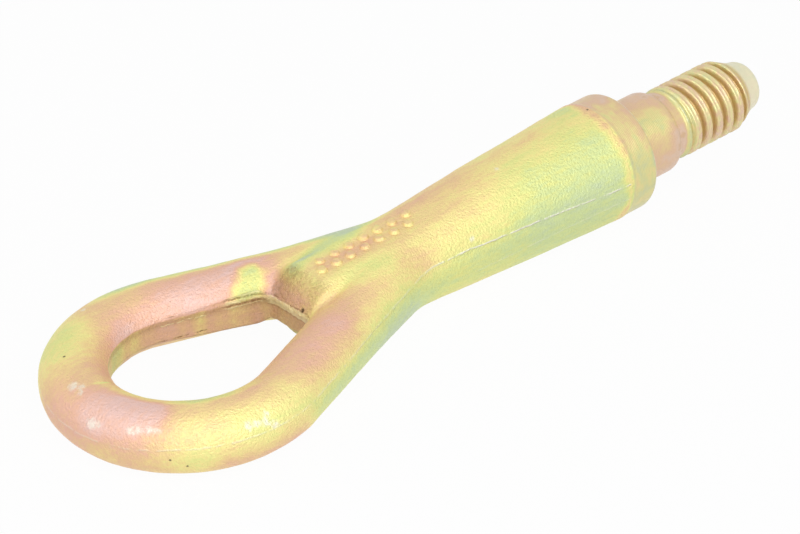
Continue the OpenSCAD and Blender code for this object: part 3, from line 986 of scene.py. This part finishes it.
def film_on_forging(points, normals, wall):
    """Thickness of the film on the forged skin, from 0 to about 1."""
    x = points[:, 0]
    # How each face leans towards the camera's up direction, for the film's painted sheen
    lean = normals @ CAMERA_UP
    film = 0.41 + sum(more * between(low, high, lean) for more, low, high in PAINTED_SHEEN_FILM)
    # Painted sheen: thinner film from the crotch on where the skin leans away from the camera's up direction, and
    # thinner film towards the shank
    film -= 0.11 * between(0.15, -0.35, lean) * between(-0.140, -0.115, x) + 0.06 * between(-0.075, -0.020, x)
    for start, end, reach, more in STREAKS:
        film += more * bell(from_line(points * MM, start, end), reach)
    start, end, full, whole, wander, thin = THIN_PATCH
    away = from_line(points * MM, start, end) + wander * cloudy(points, 0.0026, 5.7)
    film = mixed(np.clip(film, 0.0, 0.94), thin, between(whole, full, away))
    punched = mixed(0.34, 0.66, between(-0.157, -0.146, x)) + 0.28 * cloudy(points, 0.0034, 1.4, (1, 1, 6))
    film = mixed(film, punched, wall * between(-0.095, -0.105, x)) + clouds(points, FORGED_FILM_LAYERS)
    # Pink line where the turning begins
    return film + 0.29 * bell(x + 0.0100 + 0.0013 * cloudy(points, 0.006, 8.0), 0.0017)


def film_on_turning(points, turned):
    """Thickness of the film on the turned end, how brown its grooves are with gold brown film and painted shade,
    and how pale it is.
    """
    x, y, z = points.T
    radius = np.hypot(y, z)
    start, end = thread_span(turned)
    crest = turned.thread_diameter / 2
    # How each face of the turned end leans towards the camera's up direction; the band and neck take a painted
    # sheen in the film's colour from it
    lean = points @ (CAMERA_UP * [0, 1, 1]) / np.maximum(radius, 1e-6)
    film = 0.44 + clouds(points, TURNED_FILM_LAYERS)
    band = between(0.0, -0.0012, x)
    film += band * (0.26 * between(0.72, 0.92, lean) - 0.22 * between(0.35, -0.05, lean))
    film += band * (0.10 + 0.22 * cloudy(points, 0.0022, 4.4, (0.5, 1.6, 1.6)))
    neck = zone(x, 0.0, 0.001, start - 0.001, start)
    film += neck * (0.34 * between(0.25, 0.85, lean) + 0.42 * between(0.36, -0.30, lean) - 0.10)
    film += neck * 0.22 * between(0.0075, 0.0125, x)
    on_thread = zone(x, start + 0.0005, start + 0.0030, end, end + 0.0004)
    film += on_thread * (0.09 + 0.36 * cloudy(points, 0.0013, 7.3, (0.5, 1, 1)))
    film -= 0.34 * bell(x - start - 0.0010, 0.0016) + 0.14 * between(end - 0.0016, end + 0.0010, x)
    # Gold brown in the grooves, partly thicker film and partly painted shade
    groove = on_thread * between(crest - 0.0005, crest - 0.0014, radius) * between(end, end - 0.002, x)
    pale = 0.2 * on_thread * (1 - groove) + between(end - 0.0014, end + 0.0008, x)
    return film, groove, np.minimum(pale, 1)


def wear_and_edge_highlights(points, forged, turned):
    """Rubbed spots, and painted highlights along the front edges of the collar and of the thread's start."""
    x, radius = points[:, 0], np.hypot(points[:, 1], points[:, 2])
    collar = forged.collar_diameter / 2
    # Painted highlights along the collar's front edge and the thread's start; the spots below are rubs
    worn = bell(x + 0.0004, 0.0005) * between(collar - 0.0022, collar - 0.0008, radius)
    worn = np.maximum(worn, 0.6 * bell(x - thread_span(turned)[0] - 0.0005, 0.0003))
    for *spot, reach in RUBS:
        worn = np.maximum(worn, bell(from_spot(points * MM, spot), RUB_REACH * reach))
    return worn


def read_points(collection, name):
    values = np.empty(len(collection) * 3)
    collection.foreach_get(name, values)
    return values.reshape(-1, 3)


def take_mask(mesh, name):
    """Takes a point attribute off the mesh and returns its values."""
    values = np.empty(len(mesh.vertices), np.float32)
    mesh.attributes[name].data.foreach_get("value", values)
    mesh.attributes.remove(mesh.attributes[name])
    return values.astype(float)


def finish_maps(eye, forged, turned):
    """Writes on the piece's points what its finishes read: film with its painted sheen, brown with painted shade,
    pale, rubs with painted highlights, grain, trim and rim.
    """
    mesh = eye.data
    points, normals = read_points(mesh.vertices, "co"), read_points(mesh.vertex_normals, "vector")
    wall = take_mask(mesh, "wall")
    plan = ForgingPlan(forged)
    x, y, z = points.T
    on_forging = x < -forged.collar_length - 1e-6
    bead, rim = flash_bead(plan, points, wall)
    below = between(plan.wall_z, plan.wall_z - 0.0006, z)
    near_wall = np.maximum(wall, between(0.0098, 0.0085, np.abs(rim)) * (z < 0)) * below
    turned_film, groove, pale = film_on_turning(points, turned)
    nose = nose_face(points)
    # Painted shade on the pad's nose: brown on its faces towards -X, more on the +Y side
    torn = nose * (0.04 + 0.44 * between(-0.002, 0.0055, y)) * between(0.0, 0.6, -normals[:, 0])
    # Painted shade on the walls and the underside beside them, more in the crotch and just under the far leg's top
    # edge
    shade = 0.32 + 0.22 * between(-0.120, -0.113, x) + 0.30 * between(0.0026, 0.0012, rim) * (y > 0)
    maps = {
        "film": np.where(on_forging, film_on_forging(points, normals, near_wall), turned_film),
        # Painted shade on the forging's walls and nose, and gold brown film with painted shade in the thread's
        # grooves
        "brown": np.where(on_forging, np.maximum(torn, near_wall * shade), groove * 0.8),
        "pale": np.where(on_forging, 0, pale),
        "worn": wear_and_edge_highlights(points, forged, turned),
        "grain": np.where(on_forging, np.maximum(nose, bead * bell(rim, 0.0020) * 0.6), 0),
        "trim": np.where(on_forging & (np.abs(rim) > 0.007), trim_distance(points), 1.0),
        "rim": np.where(on_forging, rim, 1.0),
    }
    for name, values in maps.items():
        mesh.attributes.new(name, "FLOAT", "POINT").data.foreach_set("value", values.astype(np.float32))


# Finishes

# Thinnest film that the ramp of colours starts from, and its span
FILM_LOW, FILM_SPAN = -0.2, 1.3

# Small dirty pits, in millimetres: place and reach
PITS = [(-170.6, 16.7, 8.4, 0.42), (-172.4, -25.5, -0.6, 0.34), (-169.2, -28.0, -2.7, 0.34),
        (-180.8, -2.0, 4.0, 0.30), (-111.7, -3.8, 3.8, 0.70), (-9.6, 0.2, 16.3, 0.42)]
PIT_DEPTH = 0.0002

# Distance between the tool's laps on the turned skin, their height, and where they stop
LAP_SPACING, LAP_HEIGHT, LAPS_LAST, LAPS_END = 0.00050, 0.000014, 0.0125, 0.0142


def film_colours(tint):
    """Ramp stops for the film's thickness."""
    shades = [(-0.16, tint.film_blue), (0.02, tint.film_grey), (0.16, tint.film_green), (0.30, tint.film_lime),
              (0.43, tint.film_yellow), (0.54, tint.film_gold), (0.68, tint.film_peach), (0.82, tint.film_pink),
              (1.00, tint.film_lilac), (1.10, tint.film_tan)]
    return [((film - FILM_LOW) / FILM_SPAN, tuple(shade)) for film, shade in shades]


def new_finish(name):
    material = bpy.data.materials.new(name)
    material.use_nodes = True
    material.node_tree.nodes.clear()
    return material, Nodes(material.node_tree)


def close_finish(nodes, shader):
    nodes.add("ShaderNodeOutputMaterial", {"Surface": shader})


def pit_mask(nodes, where):
    """1 inside the few small dirty pits."""
    ragged = (nodes.cloud(where, 0.00042, 3.0, 0.65) - 0.5) * 0.0006
    masks = []
    for *spot, reach in PITS:
        away = nodes.vector("DISTANCE", where, [v / MM for v in spot])["Value"] + ragged
        masks.append(1 - away.rise(reach * 0.5 / MM, reach * 1.1 / MM))
    return masks[0].most(*masks[1:])


def stripe(distance, reach):
    """1 where the distance is 0, and 0 from reach on."""
    return 1 - abs(distance).rise(0.0, reach)


def trim_lines(nodes, where):
    """Broken bright line along the upper edge of the trimmed flash, and a fainter one along its lower edge."""
    trim, axis = nodes.attribute("trim"), nodes.axes(where)
    wander = (nodes.cloud(where, 0.0034, 3.0, 0.65) - 0.5) * 0.0009
    broken = nodes.cloud(where, 0.0030, 2.0, 0.6).rise(0.36, 0.52)
    upper = stripe(trim + wander, 0.00040) * broken * (0.32 + axis["X"].rise(-0.085, -0.062) * 0.68)
    lower = stripe(axis["Z"] + 0.0033 + wander * 0.7, 0.00030) * (0.2 + broken * 0.4) * trim.rise(0.5, 0.0)
    return upper, lower * axis["X"].rise(-0.075, -0.050)


def edge_lines(nodes, where):
    """Cream bead and lips of flash on the hole's edge, and the dark crack lines beside them, painted as shadow."""
    rim, axis = nodes.attribute("rim"), nodes.axes(where)
    x, far = axis["X"], axis["Y"].rise(-0.0002, 0.0002)
    wander = (nodes.cloud(where, 0.0022, 3.0, 0.65) - 0.5) * 0.0014
    rough = nodes.cloud(where, 0.0009, 3.0, 0.7)
    broken = nodes.cloud(where, 0.0019, 2.0, 0.6).rise(0.40, 0.52)
    depth = rim + wander
    # Stretches of the edge: the crotch, the torn end of the far leg, a long lip on it and the rest of it
    crotch = x.rise(-0.1150, -0.1120)
    torn = x.rise(-0.1240, -0.1220) * (1 - crotch) * far
    long_lip = x.rise(-0.1420, -0.1390) * (1 - x.rise(-0.1290, -0.1265)) * far
    leg = x.rise(-0.1400, -0.1370) * (1 - torn) * (1 - crotch) * far
    bead = crotch * (1 - abs(depth - 0.0008).rise(0.0009, 0.0013))
    cream = bead.most(
        torn * stripe(depth - 0.0003, 0.00034),
        torn * stripe(depth - 0.0015, 0.00036),
        long_lip * stripe(depth - 0.0016, 0.00026) * broken,
    )
    # Painted shadow: dark crack lines above, under and beside the flash and its lips, also dented a little in the
    # bump
    upper_crack_shadow = crotch * stripe(depth + 0.0006, 0.00035) * 0.7
    crack_shadows = upper_crack_shadow.most(
        crotch * stripe(depth - 0.0022, 0.00035) * 0.5,
        torn * stripe(depth - 0.0009, 0.0004) * 0.9,
        torn * stripe(depth + 0.0004, 0.0002) * broken,
        leg * stripe(depth + 0.0002, 0.00024) * broken * 0.6,
        long_lip * stripe(rim - 0.0061 + wander * 0.3, 0.00030) * broken * 1.2,
    )
    return (cream * (0.30 + rough)).held(), (crack_shadows * rough.rise(0.25, 0.6)).held()


def forged_look(nodes, tint, where, base, mottle):
    """Colour, height and roughness of the forged skin, with painted shade on its walls and torn nose, its flash,
    and painted shadow along the crack lines beside the flash.
    """
    brown, grain = nodes.attribute("brown"), nodes.attribute("grain")
    grit = nodes.cloud(where, 0.00085, 3.0, 0.65)
    # Painted shade: the brown's share, with mottle, and the nose's grain speckle mixed in
    torn = brown + (mottle - 0.5) * brown + (grit - 0.48) * grain * 1.1
    upper, lower = trim_lines(nodes, where)
    # Painted shadow along the crack lines beside the flash
    cream, crack_shadows = edge_lines(nodes, where)
    base = nodes.layered(base, [
        (torn.held(), tint.shade_brown), ((upper * 0.95).most(lower * 0.55), tint.bare_zinc_and_highlight),
        (cream * 0.88, tint.flash_cream), (crack_shadows * 0.85, tint.crack_shadow_brown),
    ])
    peel = nodes.cloud(where, 0.00062, 2.0, 0.55)
    rough_flash = nodes.cloud(where, 0.0011, 2.0, 0.6)
    fine = nodes.cloud(where, 0.00030, 2.0, 0.6)
    height = peel * 0.00033 + fine * 0.00014 + grain * grit * 0.00150
    height = height + upper * 0.00020 + lower * 0.00010 + cream * rough_flash * 0.00026 - crack_shadows * 0.00012
    return base, height, tint.roughness + (mottle - 0.5) * 0.14 + grain * 0.10


def turned_look(nodes, tint, where, base, mottle):
    """Colour, height and roughness of the turned skin, with its tool's laps and its grooves in gold brown and
    painted shade.
    """
    brown, x = nodes.attribute("brown"), nodes.axes(where)["X"]
    # Gold brown with painted shade in the thread's grooves
    grooves = brown + (mottle - 0.5) * brown * 0.8
    base = nodes.layered(base, [
        (0.45, tint.turned_haze), (nodes.attribute("pale") * 0.50, tint.bare_zinc_and_highlight),
        (grooves.held(), tint.groove_brown_and_shade),
    ])
    laps = (x * (2 * math.pi / LAP_SPACING)).sine() * (1 - x.rise(LAPS_LAST, LAPS_END))
    fine = nodes.cloud(nodes.vector("MULTIPLY", where, (3.0, 1, 1))[0], 0.0012, 2.0, 0.5)
    height = laps * LAP_HEIGHT + fine * 0.00008 + mottle * 0.00008
    return base, height, tint.roughness - 0.16 + (mottle - 0.5) * 0.12


def chromate(name, tint, look):
    """Yellow chromate over zinc: a film whose colour follows its thickness, over a forged or a turned look."""
    material, nodes = new_finish(name)
    where = nodes.add("ShaderNodeTexCoord")["Object"]
    along = nodes.vector("MULTIPLY", where, (0.3, 1, 1))[0]
    streak = nodes.cloud(along, 0.0013, 3.0, 0.6)
    mottle = nodes.cloud(where, 0.0007, 2.0, 0.6)
    film = nodes.attribute("film") + (streak - 0.5) * 0.30 + (mottle - 0.5) * 0.16
    base = nodes.add("ShaderNodeValToRGB", {0: (film - FILM_LOW) / FILM_SPAN}, stops=film_colours(tint))["Color"]
    base, height, rough = look(nodes, tint, where, base, mottle)
    pitted = pit_mask(nodes, where)
    drag = nodes.cloud(where, 0.0008, 3.0, 0.65)
    # Bare zinc on the rubs, and painted highlights along the collar's and thread's front edges
    rubs_and_highlights = (drag * 0.9 + nodes.attribute("worn") * 0.72 - 0.74).rise(0.0, 0.50)
    base = nodes.layered(base, [(rubs_and_highlights * 0.74, tint.bare_zinc_and_highlight), (pitted * 0.85, tint.pit_dark)])
    sunk = {"Strength": 1.0, "Distance": 1.0, "Height": height - pitted * PIT_DEPTH}
    skin = nodes.add("ShaderNodeBsdfPrincipled", {
        "Base Color": base, "Metallic": tint.metal, "Roughness": rough.held(),
        "Normal": nodes.add("ShaderNodeBump", sunk)["Normal"],
    })["BSDF"]
    close_finish(nodes, skin)
    return material


LOOKS = {"chromate_forged": forged_look, "chromate_turned": turned_look}


def finish_for(name, tint):
    return bpy.data.materials.get(name) or chromate(name, tint, LOOKS[name])


# Stage: floor, lights and camera

FIT = dict(azimuth=-39.994, elevation=32.941, roll=-2.857, distance=1.184325, focal=4673.3,
           target=(-0.08, 0.0, 0.0), centre=(387.995, 267.94))
PICTURE = (800, 534)
SENSOR = 36.0
FLOOR_HALF = 3.0

# Strength of the world on the part, and how much of the seen floor is plain white
SKY, FLOOR_GLOW = 0.42, 0.96

# Lamps: name, azimuth, elevation, size and power
SOFTBOXES = [("key_softbox", -21, 37, 1.15, 6.2), ("side_softbox", -110, 35, 0.5, 1.2)]
SOFTBOX_DISTANCE = 1.0
WHITE = (1, 1, 1, 1)


def aim(name, data, azimuth, elevation, roll, distance):
    """Puts a camera or lamp at a distance from the target and turns it towards it."""
    a, e, r = (math.radians(v) for v in (azimuth, elevation, roll))
    back = Vector((math.sin(a) * math.cos(e), -math.cos(a) * math.cos(e), math.sin(e)))
    right = Vector((math.cos(a), math.sin(a), 0))
    up = back.cross(right)
    right, up = right * math.cos(r) + up * math.sin(r), up * math.cos(r) - right * math.sin(r)
    thing = bpy.data.objects.new(name, data)
    bpy.context.scene.collection.objects.link(thing)
    turned = Matrix((right, up, back)).transposed().to_4x4()
    thing.matrix_world = Matrix.Translation(Vector(FIT["target"]) + back * distance) @ turned
    return thing


def place_camera():
    lens = bpy.data.cameras.new("camera")
    lens.sensor_width = SENSOR
    lens.lens = FIT["focal"] * lens.sensor_width / PICTURE[0]
    lens.shift_x = (PICTURE[0] / 2 - FIT["centre"][0]) / PICTURE[0]
    lens.shift_y = (FIT["centre"][1] - PICTURE[1] / 2) / PICTURE[0]
    camera = aim("camera", lens, FIT["azimuth"], FIT["elevation"], FIT["roll"], FIT["distance"])
    bpy.context.scene.camera = camera


def seen_ray(nodes):
    """1 on camera, mirror and see-through rays."""
    path = nodes.add("ShaderNodeLightPath")
    return (path["Is Camera Ray"] + path["Is Glossy Ray"] + path["Is Transmission Ray"]).held()


def floor_finish(tint):
    """Pale floor that keeps a soft shadow and doesn't hide the part from below."""
    material, nodes = new_finish("studio_floor")
    lit = nodes.add("ShaderNodeBsdfDiffuse", {"Color": (*tint.floor, 1.0)})["BSDF"]
    glow = nodes.add("ShaderNodeEmission", {"Color": WHITE, "Strength": 1.0})["Emission"]
    above = nodes.add("ShaderNodeMixShader", {0: seen_ray(nodes) * FLOOR_GLOW, 1: lit, 2: glow})[0]
    clear = nodes.add("ShaderNodeBsdfTransparent")["BSDF"]
    behind = nodes.add("ShaderNodeNewGeometry")["Backfacing"]
    close_finish(nodes, nodes.add("ShaderNodeMixShader", {0: behind, 1: above, 2: clear})[0])
    return material


def place_floor(tint, forged):
    """Floor through the collar's lowest point and the underside of the loop's far end."""
    collar = Vector((-forged.collar_length, 0, -forged.collar_diameter / 2 - forged.turned_depth))
    loop = Vector((-forged.reach + forged.bar_width / 2, 0, -forged.bar_height / 2))
    slope = (collar.z - loop.z) / (collar.x - loop.x)
    corners = [(x * FLOOR_HALF, y * FLOOR_HALF, collar.z + (x * FLOOR_HALF - collar.x) * slope)
               for x, y in ((-1, -1), (1, -1), (1, 1), (-1, 1))]
    mesh = bpy.data.meshes.new("studio_floor")
    mesh.from_pydata(corners, [], [(0, 1, 2, 3)])
    mesh.materials.append(floor_finish(tint))
    place("studio_floor", mesh)


def light_room():
    scene, world = bpy.context.scene, bpy.data.worlds.new("studio")
    world.use_nodes = True
    world.node_tree.nodes.clear()
    nodes = Nodes(world.node_tree)
    sky = {"Color": WHITE, "Strength": SKY + seen_ray(nodes) * (1 - SKY)}
    nodes.add("ShaderNodeOutputWorld", {"Surface": nodes.add("ShaderNodeBackground", sky)["Background"]})
    scene.world = world
    scene.view_settings.view_transform = "Standard"
    for name, azimuth, elevation, size, power in SOFTBOXES:
        lamp = bpy.data.lights.new(name, "AREA")
        lamp.shape, lamp.size, lamp.energy = "DISK", size, power
        aim(name, lamp, azimuth, elevation, 0, SOFTBOX_DISTANCE)


# Operators

class TOWEYE_OT_forging(bpy.types.Operator):
    """Forge the loop, crotch, pad and shank"""
    bl_idname = "toweye.forging"
    bl_label = "Forge the loop and shank"

    def execute(self, context):
        part = build_forged(context.scene.tow_eye_forged)
        part.data.materials.append(finish_for("chromate_forged", context.scene.tow_eye_finish))
        return {"FINISHED"}


class TOWEYE_OT_turning(bpy.types.Operator):
    """Turn the band and neck, and roll the thread"""
    bl_idname = "toweye.turning"
    bl_label = "Turn the neck and roll the thread"

    def execute(self, context):
        scene = context.scene
        finish = finish_for("chromate_turned", scene.tow_eye_finish)
        build_turned(scene.tow_eye_forged, scene.tow_eye_turned, finish)
        return {"FINISHED"}


class TOWEYE_OT_pips(bpy.types.Operator):
    """Raise a plain pattern of pips on the pad"""
    bl_idname = "toweye.pips"
    bl_label = "Raise the pips on the pad"

    def execute(self, context):
        build_pips(context.scene.tow_eye_pips, finish_for("chromate_forged", context.scene.tow_eye_finish))
        return {"FINISHED"}


class TOWEYE_OT_one_piece(bpy.types.Operator):
    """Make the forged and turned parts and the pips one piece, and map its film"""
    bl_idname = "toweye.one_piece"
    bl_label = "Make it one piece"

    def execute(self, context):
        forged, turned = context.scene.tow_eye_forged, context.scene.tow_eye_turned
        eye, rest = need(FORGED), [need(TURNED), need(PIPS)]
        with context.temp_override(active_object=eye, selected_editable_objects=[eye, *rest]):
            bpy.ops.object.join()
        eye.name = eye.data.name = EYE
        shape = bmesh.new()
        shape.from_mesh(eye.data)
        ring = [v for v in shape.verts if abs(v.co.x + forged.collar_length) < TOUCH]
        bmesh.ops.remove_doubles(shape, verts=ring, dist=TOUCH)
        shape.to_mesh(eye.data)
        shape.free()
        finish_maps(eye, forged, turned)
        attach(eye, "root")
        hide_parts("tow_eye")
        return {"FINISHED"}


class TOWEYE_OT_stage(bpy.types.Operator):
    """Set up the floor, the soft lights and the camera"""
    bl_idname = "toweye.stage"
    bl_label = "Set up the stage"

    def execute(self, context):
        place_camera()
        place_floor(context.scene.tow_eye_finish, context.scene.tow_eye_forged)
        light_room()
        return {"FINISHED"}


class TOWEYE_PT_panel(bpy.types.Panel):
    """Lists the tow eye's steps, sizes and colours"""
    bl_idname = "TOWEYE_PT_panel"
    bl_label = "Tow Eye"
    bl_space_type = "VIEW_3D"
    bl_region_type = "UI"
    bl_category = "Tow Eye"

    def draw(self, context):
        for step in STEP_CLASSES:
            self.layout.operator(step.bl_idname)
        for name, group in GROUP_CLASSES.items():
            box = self.layout.box()
            for size in group.__annotations__:
                box.prop(getattr(context.scene, name), size)


GROUP_CLASSES = {"tow_eye_forged": ForgedSizes, "tow_eye_turned": TurnedSizes, "tow_eye_pips": PipSizes,
                 "tow_eye_finish": FinishColours}
STEP_CLASSES = (TOWEYE_OT_stage, TOWEYE_OT_forging, TOWEYE_OT_turning, TOWEYE_OT_pips, TOWEYE_OT_one_piece)


def register():
    for name, group in GROUP_CLASSES.items():
        bpy.utils.register_class(group)
        setattr(bpy.types.Scene, name, PointerProperty(type=group))
    for step in (*STEP_CLASSES, TOWEYE_PT_panel):
        bpy.utils.register_class(step)


def unregister():
    for step in (TOWEYE_PT_panel, *reversed(STEP_CLASSES)):
        bpy.utils.unregister_class(step)
    for name, group in GROUP_CLASSES.items():
        delattr(bpy.types.Scene, name)
        bpy.utils.unregister_class(group)


def main():
    register()
    bpy.ops.toweye.stage()
    bpy.ops.toweye.forging()
    bpy.ops.toweye.turning()
    bpy.ops.toweye.pips()
    bpy.ops.toweye.one_piece()


if __name__ == "__main__":
    main()
